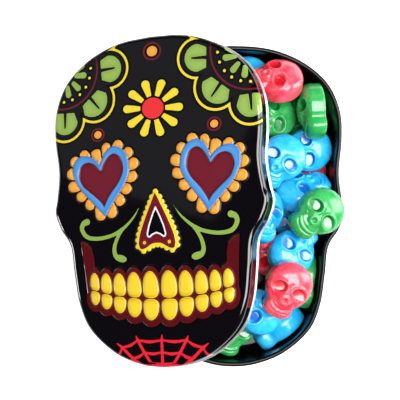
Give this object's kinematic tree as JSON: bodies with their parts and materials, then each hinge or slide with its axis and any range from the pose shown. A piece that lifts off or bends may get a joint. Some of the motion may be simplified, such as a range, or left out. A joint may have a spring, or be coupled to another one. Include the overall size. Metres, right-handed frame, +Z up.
{
  "type": "skull sweet tin",
  "caption": "Skull-shaped pressed tin: a decorated slip lid leans on the rim of its open tray, and the tray is heaped with small moulded skull sweets.",
  "frame": {"origin": "middle of the tray's flat underside, on the surface that the tin stands on", "axes": "+Y from the chin to the crown, +Z up out of the tray, +X to the side that the lid has been slid away from"},
  "size_m": [0.0793, 0.0891, 0.0323],
  "materials": {
    "lid_enamel": "gloss",
    "tray_enamel": "gloss",
    "sweet_blue": "gloss",
    "sweet_green": "gloss",
    "sweet_red": "gloss"
  },
  "bodies": {
    "tray_with_heap": {"tray": "tray_enamel", "sweet_01_green": "sweet_green", "sweet_03_blue": "sweet_blue", "sweet_04_red": "sweet_red", "sweet_05_green": "sweet_green", "sweet_06_blue": "sweet_blue", "sweet_07_blue": "sweet_blue", "sweet_08_green": "sweet_green", "sweet_09_red": "sweet_red", "sweet_10_green": "sweet_green", "sweet_11_blue": "sweet_blue", "sweet_12_red": "sweet_red", "sweet_13_green": "sweet_green", "sweet_14_red": "sweet_red", "sweet_15_blue": "sweet_blue", "sweet_16_blue": "sweet_blue", "sweet_17_green": "sweet_green", "sweet_18_red": "sweet_red", "sweet_19_blue": "sweet_blue", "sweet_20_green": "sweet_green", "sweet_21_blue": "sweet_blue", "sweet_22_blue": "sweet_blue", "sweet_23_blue": "sweet_blue", "sweet_24_blue": "sweet_blue", "sweet_29_red": "sweet_red", "sweet_30_green": "sweet_green", "sweet_31_green": "sweet_green", "sweet_32_red": "sweet_red", "sweet_33_blue": "sweet_blue", "sweet_34_green": "sweet_green", "sweet_35_red": "sweet_red", "sweet_36_blue": "sweet_blue", "sweet_37_green": "sweet_green", "sweet_38_blue": "sweet_blue", "sweet_39_red": "sweet_red", "sweet_40_blue": "sweet_blue", "sweet_41_blue": "sweet_blue"},
    "lid": {"lid": "lid_enamel"},
    "sweet_02_green": {"sweet_02_green": "sweet_green"},
    "sweet_25_red": {"sweet_25_red": "sweet_red"},
    "sweet_26_blue": {"sweet_26_blue": "sweet_blue"},
    "sweet_27_green": {"sweet_27_green": "sweet_green"},
    "sweet_28_red": {"sweet_28_red": "sweet_red"}
  },
  "joints": [
    {"name": "lid_lift", "type": "slide", "parent": "tray_with_heap", "child": "lid", "axis": [0, 0, 1], "range_m": [0, 0.08]},
    {"name": "sweet_02_lift", "type": "slide", "parent": "tray_with_heap", "child": "sweet_02_green", "axis": [0.1701, 0, 0.9854], "range_m": [0, 0.05]},
    {"name": "sweet_25_lift", "type": "slide", "parent": "tray_with_heap", "child": "sweet_25_red", "axis": [0.6412, 0, 0.7674], "range_m": [0, 0.03]},
    {"name": "sweet_26_lift", "type": "slide", "parent": "tray_with_heap", "child": "sweet_26_blue", "axis": [0.3401, 0, 0.9404], "range_m": [0, 0.035]},
    {"name": "sweet_27_lift", "type": "slide", "parent": "tray_with_heap", "child": "sweet_27_green", "axis": [0, 0, 1], "range_m": [0, 0.045]},
    {"name": "sweet_28_lift", "type": "slide", "parent": "tray_with_heap", "child": "sweet_28_red", "axis": [0, 0, 1], "range_m": [0, 0.035]}
  ]
}
